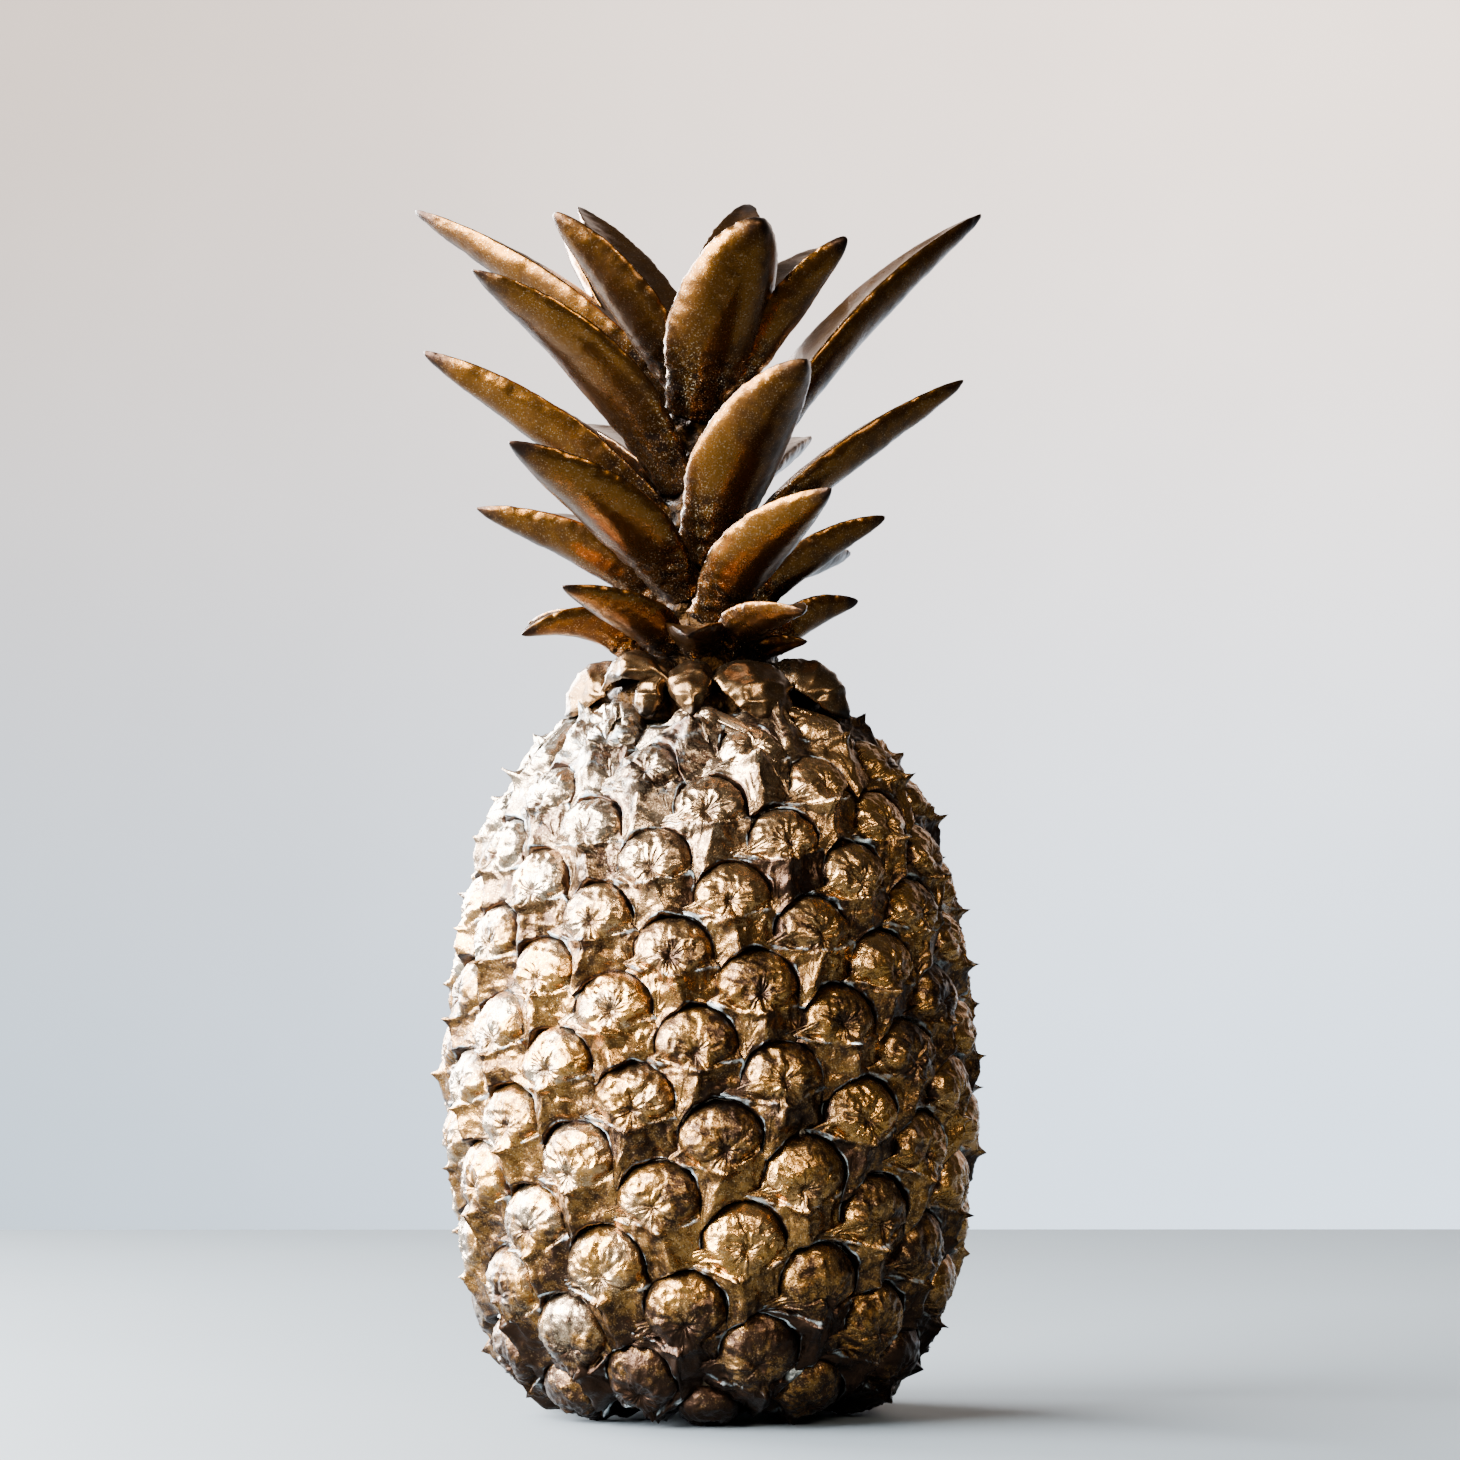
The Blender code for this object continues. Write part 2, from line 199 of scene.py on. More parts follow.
class FruitSettings(bpy.types.PropertyGroup):
    dome_depth: FloatProperty(
        name="Dome depth",
        description="How far a fruitlet stands out of the grooves",
        default=5.2 * MM,
        unit="LENGTH",
    )
    spike: FloatProperty(
        name="Spike", description="Length of the thorn on each lip", default=1.5 * MM, unit="LENGTH"
    )
    wrinkle: FloatProperty(
        name="Wrinkle",
        description="Depth of the creases round each pit",
        default=0.44 * MM,
        unit="LENGTH",
    )
    spokes: IntProperty(
        name="Spokes", description="Points round a fruitlet's mesh", default=96, min=24
    )
    rings: IntProperty(name="Rings", description="Rings over a fruitlet's face", default=28, min=8)
    gold: FloatVectorProperty(
        name="Gold",
        description="Colour of the rubbed gilding",
        subtype="COLOR",
        default=(0.262, 0.122, 0.024),
    )
    bract: FloatVectorProperty(
        name="Bract",
        description="Colour of the bracts under the lips",
        subtype="COLOR",
        default=(0.205, 0.096, 0.022),
    )
    # Laid on the upper left shoulder only: partly dust, partly painted light.
    silver: FloatVectorProperty(
        name="Silver",
        description="Colour of the rubbed shoulder",
        subtype="COLOR",
        default=(0.26, 0.205, 0.145),
    )
    # Laid on mostly towards the lit left side, so it is partly painted light.
    pale: FloatVectorProperty(
        name="Pale gold",
        description="Colour of the gilding where it is rubbed thin",
        subtype="COLOR",
        default=(0.27, 0.205, 0.135),
    )
    umber: FloatVectorProperty(
        name="Umber",
        description="Colour of the dark wash",
        subtype="COLOR",
        default=(0.018, 0.009, 0.005),
    )
    verdigris: FloatVectorProperty(
        name="Verdigris",
        description="Colour in the lips and grooves",
        subtype="COLOR",
        default=(0.13, 0.165, 0.175),
    )


class CrownSettings(bpy.types.PropertyGroup):
    sides: IntProperty(name="Sides", description="Points round a leaf's section", default=40, min=12)
    rings: IntProperty(name="Rings", description="Rings along a leaf", default=72, min=12)
    bronze: FloatVectorProperty(
        name="Bronze",
        description="Colour of the leaves' faces",
        subtype="COLOR",
        default=(0.078, 0.030, 0.0035),
    )
    shadow: FloatVectorProperty(
        name="Shadow",
        description="Colour of the wash on tips and roots",
        subtype="COLOR",
        default=(0.010, 0.005, 0.003),
    )


class StageSettings(bpy.types.PropertyGroup):
    floor: FloatVectorProperty(
        name="Floor",
        description="Colour of the floor",
        subtype="COLOR",
        default=(0.058, 0.068, 0.074),
    )
    key_power: FloatProperty(
        name="Window light", description="Power of the light on the left", default=595.0, min=0.0
    )


# ---------------------------------------------------------------- shared modelling tools


def value_noise(points, size, seed):
    """Smooth noise from -1 to 1 at the points, with lumps of about this size."""
    scaled = points / size + seed * 7.31
    cell = np.floor(scaled).astype(np.int64)
    part = scaled - cell
    part = part * part * part * (part * (part * 6 - 15) + 10)
    total = np.zeros(points.shape[:-1])
    for corner in range(8):
        step = np.array([corner & 1, corner >> 1 & 1, corner >> 2 & 1])
        key = (cell + step) * np.array([73856093, 19349663, 83492791])
        mixed = (key[..., 0] ^ key[..., 1] ^ key[..., 2] ^ (seed * 2654435761)) & 0xFFFFFFFF
        mixed = ((mixed ^ (mixed >> 15)) * 2246822519) & 0xFFFFFFFF
        mixed = mixed ^ (mixed >> 13)
        weight = np.prod(np.where(step == 1, part, 1 - part), axis=-1)
        total += weight * ((mixed & 0xFFFF) / 32767.5 - 1)
    return total


def folds(points, size, seed):
    """Sharp creases like crumpled foil, from -1 in the crease to about 1."""
    fine = 1 - 2 * np.abs(value_noise(points, size, seed))
    finer = 1 - 2 * np.abs(value_noise(points[..., [1, 2, 0]], size * 0.53, seed + 5))
    return 0.65 * fine + 0.35 * finer


def smooth_step(low, high, value):
    share = np.clip((value - low) / (high - low), 0, 1)
    return share * share * (3 - 2 * share)


def bump(value, width):
    return np.exp(-((value / width) ** 2))


def read_points(mesh):
    points = np.empty(len(mesh.vertices) * 3)
    mesh.vertices.foreach_get("co", points)
    return points.reshape(-1, 3)


def write_points(mesh, points):
    mesh.vertices.foreach_set("co", points.reshape(-1))
    mesh.update()


def write_mask(mesh, name, values):
    """Keeps a value from 0 to 1 for each vertex, for the materials to read."""
    mask = mesh.attributes.new(name, "FLOAT", "POINT")
    mask.data.foreach_set("value", np.clip(values, 0, 1).reshape(-1))


def sphere_mesh(name, sides, rings, count=1):
    """Unit spheres in one mesh, with each vertex's turn about Z and its ring from the upper pole."""
    bm = bmesh.new()
    bmesh.ops.create_uvsphere(bm, u_segments=sides, v_segments=rings, radius=1.0)
    mesh = bpy.data.meshes.new(name)
    bm.to_mesh(mesh)
    for _ in range(count - 1):
        bm.from_mesh(mesh)
    bm.to_mesh(mesh)
    bm.free()
    mesh.shade_smooth()
    points = read_points(mesh)
    turn = np.arctan2(points[:, 1], points[:, 0])
    ring = np.rint(np.arccos(np.clip(points[:, 2], -1, 1)) / math.pi * rings)
    return mesh, turn.reshape(count, -1), ring.reshape(count, -1)


def add_piece(mesh, material, slot, *nodes):
    """Puts a finished mesh in the scene as a piece that stands for CAD nodes."""
    mesh.materials.append(material)
    piece = bpy.data.objects.new(mesh.name, mesh)
    bpy.context.scene.collection.objects.link(piece)
    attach(piece, "root")
    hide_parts(*nodes)
    return piece


# ---------------------------------------------------------------- the fruit's surface


def meridian():
    """The outline as dense arrays: distance along it, radius, height and outward normal."""
    knots = np.array([(0.0, 0.0), *OUTLINE, (0.0, 1.0)]) * (FRUIT_RADIUS, FRUIT_HEIGHT)
    dense = []
    for i in range(1, len(knots) - 2):
        before = knots[i - 1] if i > 1 else knots[i]
        after = knots[i + 2] if i < len(knots) - 3 else knots[i + 1]
        a, b = knots[i], knots[i + 1]
        for t in np.linspace(0, 1, 40, endpoint=False):
            slope_a, slope_b = (b - before) / 2, (after - a) / 2
            h = (2 * t**3 - 3 * t**2 + 1, t**3 - 2 * t**2 + t, -2 * t**3 + 3 * t**2, t**3 - t**2)
            dense.append(h[0] * a + h[1] * slope_a + h[2] * b + h[3] * slope_b)
    line = np.array([knots[0], *dense, knots[-2], knots[-1]])
    along = np.concatenate([[0], np.cumsum(np.hypot(*np.diff(line, axis=0).T))])
    even = np.linspace(0, along[-1], 600)
    radius, height = np.interp(even, along, line[:, 0]), np.interp(even, along, line[:, 1])
    slope = np.stack([np.gradient(height), -np.gradient(radius)], -1)
    kernel = np.ones(21) / 21
    slope = np.stack([np.convolve(np.pad(c, 10, "edge"), kernel, "valid") for c in slope.T], -1)
    slope /= np.linalg.norm(slope, axis=1)[:, None]
    return even, radius, height, slope


ALONG, RADIUS, HEIGHT, NORMAL = meridian()


def on_fruit(azimuth, along, out):
    """Points at a distance out from the fruit's outline surface."""
    radius = np.interp(along, ALONG, RADIUS) + out * np.interp(along, ALONG, NORMAL[:, 0])
    height = np.interp(along, ALONG, HEIGHT) + out * np.interp(along, ALONG, NORMAL[:, 1])
    return np.stack([radius * np.sin(azimuth) + FRUIT_SHIFT, -radius * np.cos(azimuth), height], -1)


def fruitlet_centres():
    """Each fruitlet's azimuth and its distance along the outline, by number."""
    numbers = np.arange(FIRST_FRUITLET - 34, LAST_FRUITLET + 56)
    t = numbers / 50
    height = (91.2 - 52.0 * t - 3.0 * t**2 - 2.4 * t**3) * MM
    side = (HEIGHT > 0.5 * MM) & (HEIGHT < FRUIT_HEIGHT - 0.5 * MM)
    along = np.interp(height, HEIGHT[side], ALONG[side])
    kept = (numbers >= -72) & (numbers <= 66)
    top, foot = along[kept][0], along[kept][-1]
    along = np.where(numbers < -72, top - (numbers + 72) * 1.5 * MM, along)
    along = np.where(numbers > 66, foot - (numbers - 66) * 1.8 * MM, along)
    return {n: (FRUITLET_START + n * FRUITLET_TURN, s) for n, s in zip(numbers.tolist(), along)}


def neighbour_offset(centres, n, m):
    """Where fruitlet m lies from fruitlet n, across and up the surface, and its radius over n's."""
    radius_n = max(np.interp(centres[n][1], ALONG, RADIUS), 12 * MM)
    radius_m = max(np.interp(centres[m][1], ALONG, RADIUS), 12 * MM)
    turn = math.remainder(centres[m][0] - centres[n][0], math.tau)
    return turn * radius_n, centres[m][1] - centres[n][1], radius_n / radius_m


def dome_size(centres, n):
    """A dome's half width, its depth below its middle and its rise above it, by its neighbours."""
    spread = np.array([neighbour_offset(centres, n, n + step)[:2] for step in (8, 13, 21)])
    wide, tall = np.sqrt(0.45 * (spread**2).mean(axis=0))
    even = math.sqrt(wide * tall)
    wide, tall = 0.6 * wide + 0.4 * even, 0.6 * tall + 0.4 * even
    return wide, tall, 0.45 * tall + 4.5 * MM


def ray_meets(across, up, centre, wide, tall, start):
    """Distances along rays from a start point to where they enter and leave an ellipse."""
    x, y = (start[0] - centre[0]) / wide, (start[1] - centre[1]) / tall
    dx, dy = across / wide, up / tall
    a, b, c = dx**2 + dy**2, x * dx + y * dy, x**2 + y**2 - 1
    inside = b**2 - a * c
    root = np.sqrt(np.maximum(inside, 0))
    hit = inside > 0
    return np.where(hit, (-b - root) / a, np.inf), np.where(hit, (-b + root) / a, np.inf)


def fruitlet_reach(centres, n, turn, pit, size):
    """How far a fruitlet's face reaches each way: its dome's arc above, its neighbours' below."""
    wide, tall, top = size
    across, up = np.cos(turn), np.sin(turn)
    own = ray_meets(across, up, (0, 0), wide, top, pit)[1]
    below = np.full(turn.shape, 1.75 * tall)
    for step in NEIGHBOUR_STEPS:
        for m in (n - step, n + step):
            x, y, ratio = neighbour_offset(centres, n, m)
            m_wide, _, m_top = dome_size(centres, m)
            enter = ray_meets(across, up, (x, y), m_wide * ratio, m_top, pit)[0]
            enter = np.where(enter > 0, enter, np.inf)
            below = np.minimum(below, enter)
    own = np.minimum(own, np.where(below < own, (own + below) / 2, own))
    lower = smooth_step(math.sin(math.radians(2)), math.sin(math.radians(-14)), up)
    return own * (1 - lower) + below * lower


def fruitlet_shape(centres, n, turn, ring, settings):
    """World points and masks of one fruitlet, from its mesh's turns and rings."""
    chance = np.random.default_rng(1000 + n)
    wide, tall, top = dome_size(centres, n)
    wide, top = wide * chance.uniform(0.96, 1.02), top * chance.uniform(0.94, 1.03)
    scale = math.sqrt(wide * tall) / (10.7 * MM)
    ragged = smooth_step(-40, -62, n)
    pit = (chance.uniform(-0.12, 0.12) * wide, chance.uniform(-0.26, -0.06) * tall)
    reach = fruitlet_reach(centres, n, turn, pit, (wide, tall, top)) + 0.55 * MM
    front = settings.rings
    share = 1 - (1 - np.clip(ring / front, 0, 1)) ** 1.5
    behind = np.clip((ring - front) / 4, 0, 1)
    compass = np.stack([np.cos(turn), np.sin(turn), turn * 0 + n], -1)
    wobble = 0.045 * value_noise(compass * (2, 2, 1), 1.0, 3) + 0.03 * value_noise(compass * 7, 1.0, 4)
    reach = reach * (1 + wobble)
    u = pit[0] + np.cos(turn) * reach * share * (1 - behind)
    v = pit[1] + np.sin(turn) * reach * share * (1 - behind)
    flat = np.stack([u, v, np.full_like(u, n * 3.7 * MM)], -1)
    from_pit = np.hypot(u - pit[0], v - pit[1])

    # The lip is a smile-shaped ridge that parts the dome from the bract below it.
    lip_low = chance.uniform(-0.56, -0.46) * tall
    slant = chance.uniform(-0.02, 0.16)
    lip = lip_low + 0.14 * tall * (u / wide) ** 2 + slant * u
    lip += 0.6 * MM * value_noise(flat, 3.6 * MM, 11)
    above = v - lip
    from_centre = np.hypot(u / wide, np.where(v > 0, v / top, v / (1.08 * lip)))
    pillow = np.sqrt(np.clip(1 - np.clip(from_centre, 0, 0.99) ** 2.6, 0, 1))
    lean = chance.uniform(1.2, 2.1) * MM * scale
    dome = settings.dome_depth * scale * (pillow - 1) - lean * (v / tall)
    hollow = chance.uniform(0.5, 1.3)
    dome -= hollow * MM * scale * bump(from_pit, 4.2 * MM * scale)
    dome -= 1.0 * MM * bump(from_pit, 1.2 * MM)
    if chance.random() < 0.3:
        dome += 1.3 * MM * bump(np.hypot(u - pit[0] + 1.4 * MM, v - pit[1] + 0.8 * MM), 1.3 * MM)
    beak_at = chance.uniform(-0.16, 0.16) * wide
    sharp = chance.uniform(0.5, 1.2) * (1 - 0.55 * smooth_step(30, 62, n)) * (1 + 0.35 * ragged)
    beak = bump(u - beak_at, 3.4 * MM) * bump(above, 1.7 * MM)

    # The bract falls away from the lip as two facets that meet on a keel.
    drop = np.clip(-above, 0, None)
    keel_end = beak_at + chance.uniform(-0.35, 0.30) * wide * np.clip(drop / (0.9 * tall), 0, 1)
    keel = np.abs(u - keel_end)
    bract = -0.7 * MM * scale - lean * (lip_low / tall) - 0.16 * drop
    bract -= 0.72 * keel * (1 - 0.50 * np.clip(keel / wide, 0, 1))
    bract += 0.3 * MM * bump(keel, 0.6 * MM) + 0.7 * MM * value_noise(flat, 4.0 * MM, 21)

    lower = smooth_step(0.2 * MM, -0.35 * MM, above)
    out = dome * (1 - lower) + bract * lower
    torn = 1 - smooth_step(0.80, 1.0, np.abs(u / wide))
    ridge = bump(above - 0.1 * MM, 0.5 * MM) * torn * (1 + 0.8 * value_noise(flat, 1.9 * MM, 31))
    out += 0.9 * MM * ridge + beak * settings.spike * sharp
    thorn = bump(u - beak_at, 1.1 * MM) * bump(above + 0.2 * MM, 0.9 * MM)
    out += 0.5 * MM * thorn * (sharp + 0.5 * ragged)

    # Creases run into the pit, and the whole skin is crumpled like foil.
    bent = turn + 0.35 * value_noise(flat, 3.0 * MM, 39)
    swirl = np.stack([np.cos(bent), np.sin(bent), turn * 0 + n], -1)
    spoke = swirl * (3.0, 3.0, 5.0) + (from_pit * 170)[..., None] * (0, 0, 1)
    thin_spoke = swirl * (9.0, 9.0, 5.0) + (from_pit * 260)[..., None] * (0, 0, 1)
    rays = 1.3 * folds(spoke, 1.0, 41) * smooth_step(0.3 * MM, 2.5 * MM, from_pit)
    rays += 0.40 * folds(thin_spoke, 1.0, 43) * smooth_step(3.0 * MM, 6.0 * MM, from_pit)
    out += settings.wrinkle * rays * (1 - 0.6 * lower) * chance.uniform(0.6, 1.2)
    out += (0.46 - 0.10 * ragged + 0.30 * lower) * MM * folds(flat, 4.4 * MM, 51)
    out += 0.25 * MM * folds(flat, 1.9 * MM, 61) + 0.13 * MM * folds(flat, 0.9 * MM, 63)

    # The edge drops steeply into the groove, and the hidden back closes the shell.
    inward = reach * (1 - share)
    wall = np.sqrt(1 - (1 - np.clip(inward / ((0.9 - 0.3 * lower) * MM), 0, 1)) ** 2)
    floor = -settings.dome_depth * scale - 1.2 * MM
    out = floor + (out - floor) * wall
    out = np.where(behind > 0, floor - 1.5 * MM * behind, out)
    azimuth, along = centres[n]
    local_radius = max(np.interp(along, ALONG, RADIUS), 12 * MM)
    points = on_fruit(azimuth + u / local_radius, along + v - 0.7 * MM * beak, out)
    points[..., 2] = np.maximum(points[..., 2], 0)
    corner = smooth_step(0.45, 0.85, np.abs(u / wide)) * bump(above, 0.9 * MM)
    rim = 0.75 + 0.6 * value_noise(flat, 3.0 * MM, 85)
    dome_stain, bract_stain = chance.uniform(0, 1) ** 2.5, chance.uniform(0, 1) ** 1.6
    stain = dome_stain * (1 - lower) + bract_stain * lower
    stain = stain * (0.75 + 0.5 * value_noise(flat, 5.0 * MM, 81))
    settled = 0.85 - 0.2 * lower + 0.4 * value_noise(flat, 4.0 * MM, 83)
    wing = smooth_step(0.78, 0.95, np.abs(u / wide)) * smooth_step(2.5 * MM, 0.8 * MM, above)
    rim = rim * lower * bump(inward - 0.75 * MM, 0.38 * MM)
    masks = {
        "groove": smooth_step(1.15 * MM, 0.4 * MM, inward) * settled,
        "lip": np.maximum(ridge * 0.7, 0.9 * corner) + rim,
        "bract": np.maximum(lower, wing),
        "pit": bump(from_pit, 1.6 * MM) * (1 - lower),
        "stain": stain,
    }
    return points, masks


# ---------------------------------------------------------------- materials


def add_socket(group, name, kind, default=None, out=False):
    socket = group.interface.new_socket(name, in_out="OUTPUT" if out else "INPUT", socket_type=kind)
    if default is not None:
        socket.default_value = default


def link(tree, source, target):
    tree.links.new(source, target)


def noise_node(tree, coords, scale, detail=4.0, rough=0.55, distortion=0.0):
    node = tree.nodes.new("ShaderNodeTexNoise")
    node.inputs["Scale"].default_value = scale
    node.inputs["Detail"].default_value = detail
    node.inputs["Roughness"].default_value = rough
    node.inputs["Distortion"].default_value = distortion
    link(tree, coords, node.inputs["Vector"])
    return node.outputs["Fac"]


def math_node(tree, operation, a, b=0.0, clamp=False):
    node = tree.nodes.new("ShaderNodeMath")
    node.operation = operation
    node.use_clamp = clamp
    for socket, value in zip(node.inputs, (a, b)):
        if isinstance(value, (int, float)):
            socket.default_value = value
        else:
            link(tree, value, socket)
    return node.outputs[0]


def spread_node(tree, value, low, high, to_low=0.0, to_high=1.0):
    node = tree.nodes.new("ShaderNodeMapRange")
    node.interpolation_type = "SMOOTHSTEP"
    limits = {"From Min": low, "From Max": high, "To Min": to_low, "To Max": to_high}
    for name, number in limits.items():
        node.inputs[name].default_value = number
    link(tree, value, node.inputs["Value"])
    return node.outputs["Result"]


def mix_node(tree, factor, a, b, blend="MIX"):
    node = tree.nodes.new("ShaderNodeMix")
    node.data_type = "RGBA"
    node.blend_type = blend
    node.clamp_factor = True
    for socket, value in ((node.inputs[0], factor), (node.inputs[6], a), (node.inputs[7], b)):
        if isinstance(value, (int, float)):
            socket.default_value = value
        elif isinstance(value, (tuple, list)):
            socket.default_value = (*value, 1.0)
        else:
            link(tree, value, socket)
    return node.outputs[2]


def gilding_group():
    """Gilding rubbed over a dark wash: colour, roughness and height by where it has settled."""
    group = bpy.data.node_groups.new("rubbed_gilding", "ShaderNodeTree")
    add_socket(group, "Coords", "NodeSocketVector")
    add_socket(group, "Gold", "NodeSocketColor", (0.6, 0.34, 0.1, 1))
    add_socket(group, "Wash", "NodeSocketColor", (0.05, 0.03, 0.01, 1))
    add_socket(group, "Settled", "NodeSocketFloat", 0.0)
    add_socket(group, "Patch Scale", "NodeSocketFloat", 60.0)
    add_socket(group, "Crinkle Scale", "NodeSocketFloat", 700.0)
    add_socket(group, "Speckle", "NodeSocketFloat", 1.0)
    add_socket(group, "Colour", "NodeSocketColor", out=True)
    add_socket(group, "Roughness", "NodeSocketFloat", out=True)
    add_socket(group, "Height", "NodeSocketFloat", out=True)
    start = group.nodes.new("NodeGroupInput")
    end = group.nodes.new("NodeGroupOutput")
    coords, gold, wash = (start.outputs[name] for name in ("Coords", "Gold", "Wash"))
    patches = noise_node(group, coords, 60.0, 6.0, 0.62)
    link(group, start.outputs["Patch Scale"], patches.node.inputs["Scale"])
    crinkle = noise_node(group, coords, 700.0, 3.0, 0.5)
    link(group, start.outputs["Crinkle Scale"], crinkle.node.inputs["Scale"])
    grain = noise_node(group, coords, 2600.0, 2.0, 0.5)
    speckle = start.outputs["Speckle"]
    gritty = math_node(group, "MULTIPLY", crinkle, 0.6)
    gritty = math_node(group, "ADD", gritty, math_node(group, "MULTIPLY", grain, 0.4))
    flecks = math_node(group, "SUBTRACT", spread_node(group, gritty, 0.38, 0.62), 0.5)
    flecks = math_node(group, "ADD", math_node(group, "MULTIPLY", flecks, speckle), 0.5)
    blotches = spread_node(group, patches, 0.30, 0.70, 0.0, 0.50)
    worn = math_node(group, "ADD", blotches, math_node(group, "MULTIPLY", flecks, 0.75))
    worn = math_node(group, "SUBTRACT", worn, start.outputs["Settled"])
    worn = spread_node(group, worn, 0.0, 1.0)
    brown = mix_node(group, 0.42, wash, gold)
    colour = mix_node(group, spread_node(group, worn, 0.0, 0.45), wash, brown)
    colour = mix_node(group, spread_node(group, worn, 0.35, 0.85), colour, gold)
    glint = math_node(group, "MULTIPLY", spread_node(group, grain, 0.60, 0.70, 0.0, 0.55), speckle)
    colour = mix_node(group, math_node(group, "MULTIPLY", glint, worn), colour, GLINT)
    pits = math_node(group, "MULTIPLY", spread_node(group, grain, 0.40, 0.30, 0.0, 0.6), speckle)
    colour = mix_node(group, pits, colour, wash)
    link(group, colour, end.inputs["Colour"])
    link(group, spread_node(group, worn, 0.0, 1.0, 0.36, 0.22), end.inputs["Roughness"])
    height = math_node(group, "ADD", crinkle, math_node(group, "MULTIPLY", grain, 0.18))
    link(group, height, end.inputs["Height"])
    return group


def bloom_group():
    """Pale dust and verdigris that lie in patches over a finish."""
    group = bpy.data.node_groups.new("pale_bloom", "ShaderNodeTree")
    add_socket(group, "Coords", "NodeSocketVector")
    add_socket(group, "Where", "NodeSocketFloat", 0.0)
    add_socket(group, "Scale", "NodeSocketFloat", 150.0)
    add_socket(group, "Mask", "NodeSocketFloat", out=True)
    start = group.nodes.new("NodeGroupInput")
    end = group.nodes.new("NodeGroupOutput")
    patches = noise_node(group, start.outputs["Coords"], 150.0, 6.0, 0.7)
    link(group, start.outputs["Scale"], patches.node.inputs["Scale"])
    level = math_node(group, "MULTIPLY", start.outputs["Where"], 0.42)
    level = math_node(group, "ADD", patches, level)
    link(group, spread_node(group, level, 0.74, 1.02, 0.0, 0.85), end.inputs["Mask"])
    return group


def gilded_material(name, gold, wash, patch, crinkle, bump_depth, metallic=METAL):
    """A material that places the gilding, and hands back its tree, shader and the group's node."""
    group = bpy.data.node_groups.get("rubbed_gilding") or gilding_group()
    material = bpy.data.materials.new(name)
    material.use_nodes = True
    tree = material.node_tree
    shader = tree.nodes["Principled BSDF"]
    shader.inputs["Metallic"].default_value = metallic
    coords = tree.nodes.new("ShaderNodeTexCoord").outputs["Object"]
    gilt = tree.nodes.new("ShaderNodeGroup")
    gilt.node_tree = group
    link(tree, coords, gilt.inputs["Coords"])
    gilt.inputs["Gold"].default_value = (*gold, 1)
    gilt.inputs["Wash"].default_value = (*wash, 1)
    gilt.inputs["Patch Scale"].default_value = patch
    gilt.inputs["Crinkle Scale"].default_value = crinkle
    link(tree, gilt.outputs["Colour"], shader.inputs["Base Color"])
    link(tree, gilt.outputs["Roughness"], shader.inputs["Roughness"])
    shader.inputs["Coat Weight"].default_value = COAT_WEIGHT
    shader.inputs["Coat Roughness"].default_value = COAT_ROUGHNESS
    relief = tree.nodes.new("ShaderNodeBump")
    relief.inputs["Strength"].default_value = 1.0
    relief.inputs["Distance"].default_value = bump_depth
    link(tree, gilt.outputs["Height"], relief.inputs["Height"])
    link(tree, relief.outputs["Normal"], shader.inputs["Normal"])
    link(tree, relief.outputs["Normal"], shader.inputs["Coat Normal"])
    return material, tree, shader, gilt


def mask_node(tree, name):
    node = tree.nodes.new("ShaderNodeAttribute")
    node.attribute_name = name
    return node.outputs["Fac"]


def add_bloom(tree, shader, gilt, where, scale, colour, metallic):
    """Lays the pale bloom over a finish's colour, and dulls its metal there."""
    group = bpy.data.node_groups.get("pale_bloom") or bloom_group()
    bloom = tree.nodes.new("ShaderNodeGroup")
    bloom.node_tree = group
    link(tree, gilt.inputs["Coords"].links[0].from_socket, bloom.inputs["Coords"])
    bloom.inputs["Scale"].default_value = scale
    link(tree, where, bloom.inputs["Where"])
    below = shader.inputs["Base Color"].links[0].from_socket
    link(tree, mix_node(tree, bloom.outputs["Mask"], below, colour), shader.inputs["Base Color"])
    dulled = spread_node(tree, bloom.outputs["Mask"], 0.0, 1.0, metallic, 0.15)
    link(tree, dulled, shader.inputs["Metallic"])


def place_mask(tree, gilt, low, high, axis="Z"):
    """Grows from 0 to 1 between two places along an axis of the piece."""
    split = tree.nodes.new("ShaderNodeSeparateXYZ")
    link(tree, gilt.inputs["Coords"].links[0].from_socket, split.inputs[0])
    return spread_node(tree, split.outputs[axis], low, high)


